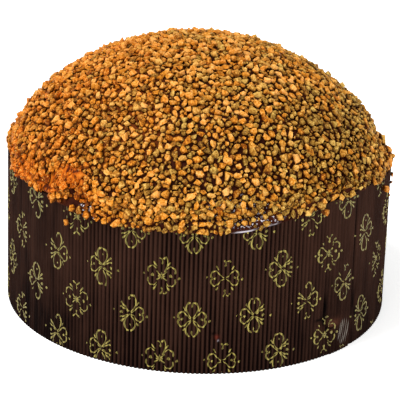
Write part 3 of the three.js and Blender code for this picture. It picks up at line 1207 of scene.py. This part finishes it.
def lip_points(bearing, order, coat, paper):
    """The rolled lip over the rim, ragged along its edge, thin where it ends inside the rim."""
    stand, above = np.array(LIP_SECTION)[order].T
    over, edge = lip_reach(bearing)
    swell = 1 + 0.3 * np.sin(17 * bearing + 1) + 0.25 * np.sin(41 * bearing)
    rolled = (LIP_GAP + stand * coat.lip) * swell**0.5
    outside = np.where(stand > 0, rolled, LIP_DEPTH * stand)
    inside = 0.3 * MM * stand - TUCK_IN
    radius = paper.radius + outside * over + inside * (1 - over)
    under = rim_height(bearing) - TUCK_UNDER
    height = (edge + above * MM) * over + (under + 0.25 * above * MM) * (1 - over)
    return around(bearing, radius, height)


# Melted caramel

# Bearing, height in millimetres, and half width and half height in millimetres of each pool
POOLS = ((-42, 91, 12, 6.5), (-50, 84.5, 12, 4.5), (-64, 84, 15, 6.5), (-78, 86, 10, 4.5))
DEGREE = 1.75  # millimetres round the coat
SHEET_COLUMNS = 170
SHEET_ROWS = 60
SHEET_BEARINGS = (-92, -30)
SHEET_TOP = 101 * MM
SHEET_THICK = 1.0 * MM
SHEET_SINK = 0.1 * MM
SHEET_GAP = 0.2 * MM  # to the lower edge of the coat


def melted_share(points):
    """1 in the middle of a pool of melted caramel, 0 well away from all of them."""
    degrees = np.degrees(bearings_of(points))
    height = points[:, 2] / MM
    share = np.zeros(len(points))
    for at, up, wide, tall in POOLS:
        away = ((degrees - at) * DEGREE / wide) ** 2 + ((height - up) / tall) ** 2
        share = np.maximum(share, np.exp(-(away**1.5)))
    return share


def sheet_level(points):
    """Thickness of the melted caramel, in parts of the sheet's, and below 0 where it ends."""
    return 2.2 * melted_share(points) - 0.9


def melted_caramel(coat, paper):
    """A thin sheet of caramel on the left flank, with holes down to the chocolate."""
    deselect()
    bpy.ops.mesh.primitive_grid_add(x_subdivisions=SHEET_COLUMNS, y_subdivisions=SHEET_ROWS, size=2)
    sheet = bpy.context.object
    sheet.name = sheet.data.name = "melted_caramel"

    def shape(points):
        bearing = np.radians(np.interp(points[:, 0], (-1, 1), SHEET_BEARINGS))
        low = lip_edge(bearing) + SHEET_GAP
        height = low + (SHEET_TOP - low) * (0.5 + 0.5 * points[:, 1])
        place, normal = coat_surface(bearing, height, coat, paper)
        lumps = roughly(place, 6 * MM, 2.0) + 0.25 * roughly(place, 3 * MM, 5.0)
        thick = np.clip(sheet_level(place) + 0.35 * lumps, -1, 0.8)
        for middle, size in bare_spots(coat, paper):
            thick -= 2 * hill(np.linalg.norm(place - middle, axis=1), 0, size)
        return leaned(place + normal * (thick * SHEET_THICK - SHEET_SINK)[:, None])

    sculpt(sheet, shape)
    smooth(sheet)
    return sheet


# Granules

GRANULE_KINDS = 16
CHIP_CUBE = 1.2  # the cube that a chip is cut from, and how far from its middle the cuts are
CHIP_REACH = (0.4, 0.52)
CHIP_CUTS = 10
CHIP_MERGE = 0.12  # corners closer than this become one
CHIP_STRETCH = 0.19
CHIP_FLATTEN = 0.15  # along the normal of the coat
SPREAD = 0.89  # least distance between granules, as a share of their mean width
RELAX_ROUNDS = 6
NEIGHBOURS = 9  # that a granule is pushed away from, itself among them
RELAXED = 1.08  # distance that the pushes work towards, as a share of the least one
SIZE_POWER = 0.43  # the lower, the fewer large granules
GRANULE_SHARE = 1.03  # width of a granule, as a share of the place it has
SKIRT_TOP = 85.6 * MM  # below this the granules follow the lip, not the dome
SKIRT_RADIUS = 97.9 * MM
SKIRT_NORMAL = (0.97, 0.24)  # outward and upward share
SKIRT_DEPTH = 8 * MM  # below the dome's foot, where granules are tried as well
SKIRT_LEAST = 3.4 * MM  # height of the skirt over the lower edge of the coat
LIP_INSET = 1.2 * MM  # of the chocolate from the outside of the case, where it ends inside it
DOME_STEPS = 500

# Middle and half width of the bearings, in degrees, where caramel drowns granules and where
# there are fewer over the bare lip, and of the heights of those
DROWNED_STRETCH = (-46, 13)
SPARSE_STRETCH = (17, 11)
SPARSE_HEIGHTS = (82 * MM, 7 * MM)
# Bearing, height and radius of each spot of bare chocolate
BARE_SPOTS = (
    (-39.6, 79.6 * MM, 3.4 * MM),
    (-37.6, 82.2 * MM, 3.2 * MM),
    (-38.8, 85.4 * MM, 2.2 * MM),
    (-34.2, 80.8 * MM, 1.9 * MM),
    (-31.4, 78.4 * MM, 1.6 * MM),
    (-52.1, 83.7 * MM, 1.7 * MM),
    (-59.9, 83.5 * MM, 1.4 * MM),
    (-67.0, 89.9 * MM, 1.6 * MM),
    (-55.2, 94.4 * MM, 1.4 * MM),
    (-51.1, 91.3 * MM, 1.5 * MM),
    (-52.0, 86.8 * MM, 1.5 * MM),
    (-40.7, 88.6 * MM, 1.1 * MM),
    (-72.8, 81.8 * MM, 1.3 * MM),
    (22.0, 81.3 * MM, 2.7 * MM),
)
# Bearing, height and width in millimetres of each granule stuck to the paper
STRAYS = (
    (-39.9, 69.3, 2.7),
    (38.3, 80.4, 3.4),
    (69.7, 76.4, 3.6),
    (84.8, 74.1, 2.2),
    (84.8, 69.6, 1.6),
    (79, 66.2, 1.4),
    (161, 66, 3.2),
)


def bare_spots(coat, paper):
    """Middle, on the chocolate before it leans, and radius of each bare spot."""
    for bearing, height, size in BARE_SPOTS:
        middle, _ = coat_surface(np.radians([bearing]), np.array([height]), coat, paper)
        yield middle, size


def chip_shape(random):
    """Corners and triangles of an angular chip, about one unit wide: a cube cut down by planes."""
    deselect()
    bpy.ops.mesh.primitive_cube_add(size=CHIP_CUBE)
    chip = bpy.context.object
    bpy.ops.object.mode_set(mode="EDIT")
    for _ in range(CHIP_CUTS):
        normal = Vector(random.normal(size=3)).normalized()
        bpy.ops.mesh.select_all(action="SELECT")
        bpy.ops.mesh.bisect(
            plane_co=normal * random.uniform(*CHIP_REACH),
            plane_no=normal,
            use_fill=True,
            clear_outer=True,
        )
    bpy.ops.mesh.select_all(action="SELECT")
    bpy.ops.mesh.remove_doubles(threshold=CHIP_MERGE)
    bpy.ops.mesh.quads_convert_to_tris()
    bpy.ops.mesh.normals_make_consistent(inside=False)
    bpy.ops.object.mode_set(mode="OBJECT")
    corners = points_of(chip)
    triangles = np.array([p.vertices[:] for p in chip.data.polygons])
    bpy.data.objects.remove(chip, do_unlink=True)
    return corners / np.ptp(corners, axis=0).mean(), triangles


def turn_matrices(random, count):
    """Random rotations, as an array of three by three matrices."""
    q = random.normal(size=(count, 4))
    q /= np.linalg.norm(q, axis=1)[:, None]
    w, x, y, z = q.T
    rows = [
        [1 - 2 * (y * y + z * z), 2 * (x * y - z * w), 2 * (x * z + y * w)],
        [2 * (x * y + z * w), 1 - 2 * (x * x + z * z), 2 * (y * z - x * w)],
        [2 * (x * z - y * w), 2 * (y * z + x * w), 1 - 2 * (x * x + y * y)],
    ]
    return np.moveaxis(np.array(rows), 2, 0)


def coat_surface(bearing, height, coat, paper):
    """Points of the chocolate, before it leans, and its outward normals there."""
    angle = np.arccos(np.clip((height - DOME_FOOT) / DOME_RISE, 0, 1) ** (1 / DOME_POWER))
    out, up = dome_normal(angle)
    over, edge = lip_reach(bearing)
    top = np.maximum(SKIRT_TOP, edge + SKIRT_LEAST)
    fall = eased((top - height) / np.maximum(top - edge - 3 * MM, 1.5 * MM))
    lip_radius = paper.radius + coat.lip * over - LIP_INSET * (1 - over)
    skirt_radius = (SKIRT_RADIUS - coat.sink) * (1 - fall) + lip_radius * fall
    skirt = height < top
    radius = np.where(skirt, skirt_radius, DOME_RADIUS * np.sin(angle) - coat.sink * out)
    height = np.where(skirt, height, height - coat.sink * up)
    out, up = np.where(skirt, SKIRT_NORMAL[0], out), np.where(skirt, SKIRT_NORMAL[1], up)
    return around(bearing, radius, height), around(bearing, out, up)


def onto_coat(points, coat, paper):
    """Points moved onto the chocolate, and the outward normals there."""
    up = np.clip((points[:, 2] - DOME_FOOT) / DOME_RISE, 1e-6, 1) ** (1 / DOME_POWER)
    angle = np.arctan2(radius_of(points) / DOME_RADIUS, up)
    height = np.where(points[:, 2] < SKIRT_TOP, points[:, 2], dome_height(angle))
    bearing = bearings_of(points)
    return coat_surface(bearing, np.maximum(height, lowest_granules(bearing)), coat, paper)


def tree_of(points):
    """A tree that finds the nearest points."""
    tree = kdtree.KDTree(len(points))
    for i, point in enumerate(points):
        tree.insert(point, i)
    tree.balance()
    return tree


def tried_places(settings, random):
    """Bearings and heights spread evenly over the dome and down the skirt."""
    steps = np.linspace(0, COAT_FOOT, DOME_STEPS)
    path, _ = domed(steps, np.zeros_like(steps), 0)
    ring = DOME_RADIUS * np.sin(steps)
    length = np.linalg.norm(np.diff(path, axis=0), axis=1)
    area = np.append(0, np.cumsum(length * (ring[1:] + ring[:-1]) * math.pi))
    skirt = 2 * math.pi * COAT_RADIUS * SKIRT_DEPTH
    covered = random.uniform(0, area[-1] + skirt, settings.tries)
    heights = dome_height(np.interp(covered, area, steps))
    heights -= np.maximum(covered - area[-1], 0) / skirt * SKIRT_DEPTH
    bearings = random.uniform(-math.pi, math.pi, settings.tries)
    fits = heights > lowest_granules(bearings)
    return bearings[fits], heights[fits]


def scatter(settings, coat, paper):
    """Granules over the coat. The largest come first, and each drops the smaller in its way."""
    bearings, heights = tried_places(settings, np.random.default_rng(settings.seed))
    share = np.arange(len(heights)) / len(heights)
    widths = settings.largest * (settings.smallest / settings.largest) ** (share**SIZE_POWER)
    points, normals = coat_surface(bearings, heights, coat, paper)
    widths *= 1 + 0.2 * np.clip(-points[:, 0] / (60 * MM) - 0.7, 0, 1)
    tree = tree_of(points)
    free = np.ones(len(points), bool)
    for i, (point, width) in enumerate(zip(points, widths)):
        if free[i]:
            for _, other, gap in tree.find_range(point, SPREAD * width):
                if other > i and gap < 0.5 * SPREAD * (width + widths[other]):
                    free[other] = False
    points, normals, widths = points[free], normals[free], widths[free]
    for _ in range(RELAX_ROUNDS):
        points, normals = onto_coat(points + pushed_apart(points, widths), coat, paper)
    keep = np.ones(len(points), bool)
    for middle, size in bare_spots(coat, paper):
        keep &= np.linalg.norm(points - middle, axis=1) > size
    return leaned(points[keep]), normals[keep], widths[keep]


def pushed_apart(points, widths):
    """Half the moves that would part every granule from its nearest ones."""
    tree = tree_of(points)
    near = np.array([[found[1] for found in tree.find_n(p, NEIGHBOURS)] for p in points])
    apart = points[:, None] - points[near]
    distance = np.linalg.norm(apart, axis=2)
    wanted = RELAXED * SPREAD * (widths[:, None] + widths[near]) / 2
    overlap = np.where(distance > 0, np.clip(wanted - distance, 0, None), 0)
    return 0.5 * (apart / np.maximum(distance, 1e-9)[:, :, None] * overlap[:, :, None]).sum(1)


def settled(middles, normals, widths, random):
    """Granules raised to their own heights, with those that drowned in caramel left out."""
    degrees = np.degrees(bearings_of(middles))
    drowned = np.clip(sheet_level(middles), 0, 1) * hill(degrees, *DROWNED_STRETCH)
    sparse = hill(degrees, *SPARSE_STRETCH) * hill(middles[:, 2], *SPARSE_HEIGHTS)
    small = np.clip((3 * MM - widths) / (1.5 * MM), 0, 1)
    keep = random.uniform(0, 1, len(widths)) > drowned * (0.35 + 0.5 * small) + 0.1 * sparse
    widths = (widths * (1 + 0.12 * melted_share(middles)))[keep]
    middles, normals, drowned = middles[keep], normals[keep], drowned[keep]
    lift = random.uniform(0.02, 0.3, len(widths)) - 0.1 * drowned
    return middles + normals * (widths * lift)[:, None], normals, widths


def stray_granules(paper):
    """Middles, normals and widths of the granules stuck to the paper."""
    degrees, heights, widths = np.array(STRAYS).T
    bearings, heights, widths = np.radians(degrees), heights * MM, widths * MM
    middles = around(bearings, paper.radius + widths / 4, heights)
    return middles, around(bearings, np.ones(len(widths)), np.zeros(len(widths))), widths


def granule_values(middles, widths, random):
    """Tone, smokiness and melt of each granule, by its place and its size, the tone with painted light
    and shade.
    """
    count = len(widths)
    degrees = np.degrees(bearings_of(middles))
    east, up = middles[:, 0] / MM, middles[:, 2] / MM
    left = np.clip(0.5 - east / 150, 0, 1)
    high = np.clip((up - 110) / 30, 0, 1)
    # Painted light on the right rim and a patch on the upper left, and painted shade below the right
    # rim and in front
    rim = np.clip((east - 84) / 10, 0, 1) * (up > 80)  # the right rim catches the light
    shaded = hill(degrees, 68, 14) * (up < 86)  # and the granules in front of it don't
    front = hill(degrees, -12, 22) * np.clip((96 - up) / 12, 0, 1)
    painted_light_patch = hill(east, -40, 22, 2) * hill(up, 108, 16, 2)
    melted = melted_share(middles)
    burnt = hill(np.hypot((degrees + 35) * 1.7, up - 84), 0, 6)  # beside the melted sheet
    big = np.clip((widths / MM - 1.5) / 2.5, 0, 1)
    big -= np.average(big, weights=widths**2)
    amber = 0.12 + 0.5 * left + 0.3 * high + 0.35 * roughly(middles, 38 * MM, 3.0) + 0.5 * big
    amber = np.clip(amber, 0, 1)
    smoke = np.clip(0.5 + 2.2 * (random.uniform(0, 1, count) - amber), 0, 1)
    smoke *= random.uniform(0.7, 1.0, count)
    # Besides the granules' own tone: painted light up high and painted shade on the far left
    tone = random.normal(0.5, 0.17, count) + 0.1 * (amber - 0.5) + 0.13 * (high - left**3)
    tone += 0.18 * big + 0.09 * painted_light_patch + 0.22 * rim - 0.07 * front
    tone -= 0.2 * shaded + 0.3 * burnt + 0.12 * melted
    flank = np.clip((-east - 5) / 80, 0, 1) + 0.4 * high + 0.5 * rim
    pooled = 1.6 * melted - 0.5 * random.uniform(0, 1, count)
    run = flank * (0.15 + 0.8 * random.uniform(0, 1, count) ** 1.3)
    melt = np.clip(np.maximum(pooled, run), 0, 1)
    tone = np.clip(tone, 0.02, 1)
    tone[-len(STRAYS) :] = 0.55
    melt[-len(STRAYS) :] = 0.5
    return {"tone": tone, "smoke": smoke, "melt": np.maximum(melt, 0.8 * burnt)}


def granule_places(settings, coat, paper):
    """Middles, normals, widths and colour values of all the granules."""
    random = np.random.default_rng(settings.seed + 1)
    on_coat = settled(*scatter(settings, coat, paper), random)
    middles, normals, widths = map(np.concatenate, zip(on_coat, stray_granules(paper)))
    return middles, normals, widths, granule_values(middles, widths, random)


def granule_piece(name, shapes, middles, normals, widths, values, random):
    """One mesh of many granules, each a copy of a chip, turned and sized on its own."""
    turns = turn_matrices(random, len(middles))
    stretch = np.exp(random.normal(0, CHIP_STRETCH, (len(middles), 3)))
    stretch /= np.cbrt(stretch.prod(axis=1))[:, None]
    kinds = random.integers(0, len(shapes), len(middles))
    points, faces, tops, owners = [], [], [], []
    count = 0
    for i, kind in enumerate(kinds):
        corners, triangles = shapes[kind]
        offsets = (corners * stretch[i] * GRANULE_SHARE * widths[i]) @ turns[i].T
        offsets -= CHIP_FLATTEN * (offsets @ normals[i])[:, None] * normals[i]
        points.append(offsets + middles[i])
        tops.append(0.5 + offsets @ normals[i] / widths[i])
        faces.append(triangles + count)
        owners.append(np.full(len(corners), i))
        count += len(corners)
    piece = mesh_piece(name, np.concatenate(points), np.concatenate(faces))
    owners = np.concatenate(owners)
    attributes = {label: each[owners] for label, each in values.items()}
    attributes["top"] = np.concatenate(tops)
    for label, each in attributes.items():
        piece.data.attributes.new(label, "FLOAT", "POINT").data.foreach_set("value", each)
    smooth(piece, degrees=32)
    return piece


# Stage

FLOOR_SIZE = 12
FLOOR_CUTS = 3
# Name, place, spread in degrees and strength of each soft light
LIGHTS = (
    ("key_light", (-0.62, -0.3, 1.35), 20, 2.5),
    ("fill_light", (0.64, -1.25, 0.8), 14, 0.6),
    ("front_light", (-0.5, -1.2, 0.9), 40, 0.5),
)
LIGHTS_AIM = Vector((0, 0, 0.07))
DAYLIGHT = 0.42
SENSOR = 36  # millimetres
PICTURE = 400  # pixels across
CAMERA_LENS = 68.058 * 3  # millimetres
CAMERA_MIDDLE = Vector((0, 0, 40 * MM))
CAMERA_ROLL = math.radians(1.842)
CENTRE_SHIFT = (2.45, 21.5)  # pixels from the middle of the case to the middle of the picture


def add_floor(stage):
    """A wide floor that is part of the stage, not of the object."""
    deselect()
    bpy.ops.mesh.primitive_plane_add(size=FLOOR_SIZE)
    floor = bpy.context.object
    floor.name = "floor"
    bpy.ops.object.mode_set(mode="EDIT")
    bpy.ops.mesh.subdivide(number_cuts=FLOOR_CUTS)
    bpy.ops.object.mode_set(mode="OBJECT")
    floor.data.materials.append(floor_material(stage))


def add_lights():
    """Soft suns from the upper left, the right and the front, under an even sky."""
    for name, place, spread, power in LIGHTS:
        bpy.ops.object.light_add(type="SUN", location=place)
        light = bpy.context.object
        light.name = name
        light.data.angle = math.radians(spread)
        light.data.energy = power
        aim = LIGHTS_AIM - light.location
        light.rotation_euler = aim.to_track_quat("-Z", "Y").to_euler()
    world = bpy.data.worlds.new("Soft daylight")
    world.use_nodes = True
    sky = world.node_tree.nodes["Background"]
    sky.inputs["Color"].default_value = (1, 1, 1, 1)
    sky.inputs["Strength"].default_value = DAYLIGHT
    bpy.context.scene.world = world


def add_camera(stage):
    """The camera at the photo's height and distance, turned slightly about its own axis."""
    back = Vector((0, -math.cos(stage.elevation), math.sin(stage.elevation)))
    right = Vector((1, 0, 0))
    up = back.cross(right)
    focal = CAMERA_LENS / SENSOR * PICTURE
    roll = Matrix.Rotation(CAMERA_ROLL, 3, back)
    right, up = roll @ right, roll @ up
    look = -back + right * (CENTRE_SHIFT[0] / focal) + up * (CENTRE_SHIFT[1] / focal)
    bpy.ops.object.camera_add(location=CAMERA_MIDDLE + back * stage.distance)
    camera = bpy.context.object
    camera.data.lens = CAMERA_LENS
    camera.data.sensor_width = SENSOR
    axis_z = -look.normalized()
    axis_x = up.cross(axis_z).normalized()
    axis_y = axis_z.cross(axis_x)
    turn = Matrix((axis_x, axis_y, axis_z)).transposed()
    camera.rotation_euler = turn.to_euler()
    bpy.context.scene.camera = camera


# Operators


class PANETTONE_OT_paper_case(bpy.types.Operator):
    """Models the fluted band and the pressed base of the paper case"""

    bl_idname = "panettone.paper_case"
    bl_label = "Paper Case"

    def execute(self, context):
        paper = context.scene.panettone_paper
        material = paper_material(paper)
        dress(fluted_band(paper), material, ["paper_case"])
        dress(case_base(paper), material)
        return {"FINISHED"}


class PANETTONE_OT_gold_print(bpy.types.Operator):
    """Prints rows of gold flowers round the band"""

    bl_idname = "panettone.gold_print"
    bl_label = "Gold Print"

    def execute(self, context):
        paper = context.scene.panettone_paper
        dress(gold_print(paper), gold_material(paper))
        return {"FINISHED"}


class PANETTONE_OT_loaf(bpy.types.Operator):
    """Gives the loaf its crumb"""

    bl_idname = "panettone.loaf"
    bl_label = "Loaf"

    def execute(self, context):
        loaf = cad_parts["loaf"]
        loaf.data.materials.clear()
        loaf.data.materials.append(crumb_material())
        return {"FINISHED"}


class PANETTONE_OT_chocolate_coat(bpy.types.Operator):
    """Pours the chocolate coat with its lip, and the melted caramel"""

    bl_idname = "panettone.chocolate_coat"
    bl_label = "Chocolate Coat"

    def execute(self, context):
        coat = context.scene.panettone_coat
        paper = context.scene.panettone_paper
        dress(chocolate_coat(coat, paper), chocolate_material(coat), ["crunch_coat"])
        dress(melted_caramel(coat, paper), melted_material(coat))
        return {"FINISHED"}


class PANETTONE_OT_granules(bpy.types.Operator):
    """Scatters the caramel granules over the coat, in four pieces by size"""

    bl_idname = "panettone.granules"
    bl_label = "Granules"

    def execute(self, context):
        scene = context.scene
        settings = scene.panettone_granules
        random = np.random.default_rng(settings.seed + 2)
        shapes = [chip_shape(random) for _ in range(GRANULE_KINDS)]
        middles, normals, widths, values = granule_places(
            settings, scene.panettone_coat, scene.panettone_paper
        )
        material = granule_material()
        limits = np.quantile(widths, (0, 0.25, 0.5, 0.75, 1))
        limits[-1] += MM  # takes in the largest granule
        names = ("fine_granules", "small_granules", "granules", "large_granules")
        for name, low, high in zip(names, limits, limits[1:]):
            own = (widths >= low) & (widths < high)
            looks = {label: each[own] for label, each in values.items()}
            piece = granule_piece(name, shapes, middles[own], normals[own], widths[own], looks, random)
            dress(piece, material)
        return {"FINISHED"}


class PANETTONE_OT_stage(bpy.types.Operator):
    """Sets out the floor, the lights and the camera"""

    bl_idname = "panettone.stage"
    bl_label = "Stage"

    def execute(self, context):
        stage = context.scene.panettone_stage
        add_floor(stage)
        add_lights()
        add_camera(stage)
        context.scene.view_settings.view_transform = "Standard"
        return {"FINISHED"}


class PANETTONE_PT_panel(bpy.types.Panel):
    """Lists the settings and the steps of the panettone"""

    bl_label = "Panettone"
    bl_idname = "PANETTONE_PT_panel"
    bl_space_type = "VIEW_3D"
    bl_region_type = "UI"
    bl_category = "Panettone"

    def draw(self, context):
        for group in SETTINGS:
            box = self.layout.box()
            values = getattr(context.scene, group)
            for name in values.__annotations__:
                box.prop(values, name)
        for step in STEPS:
            self.layout.operator(step.bl_idname)


SETTINGS = {
    "panettone_paper": PaperSettings,
    "panettone_coat": CoatSettings,
    "panettone_granules": GranuleSettings,
    "panettone_stage": StageSettings,
}
STEPS = (
    PANETTONE_OT_stage,
    PANETTONE_OT_paper_case,
    PANETTONE_OT_gold_print,
    PANETTONE_OT_loaf,
    PANETTONE_OT_chocolate_coat,
    PANETTONE_OT_granules,
)


def register():
    for cls in (*SETTINGS.values(), *STEPS, PANETTONE_PT_panel):
        bpy.utils.register_class(cls)
    for name, cls in SETTINGS.items():
        setattr(bpy.types.Scene, name, PointerProperty(type=cls))


def unregister():
    for name in SETTINGS:
        delattr(bpy.types.Scene, name)
    for cls in (PANETTONE_PT_panel, *reversed(STEPS), *reversed(SETTINGS.values())):
        bpy.utils.unregister_class(cls)


def main():
    register()
    mottle_group()
    flute_group()
    spot_group()
    for step in STEPS:
        category, name = step.bl_idname.split(".")
        getattr(getattr(bpy.ops, category), name)()


if __name__ == "__main__":
    main()
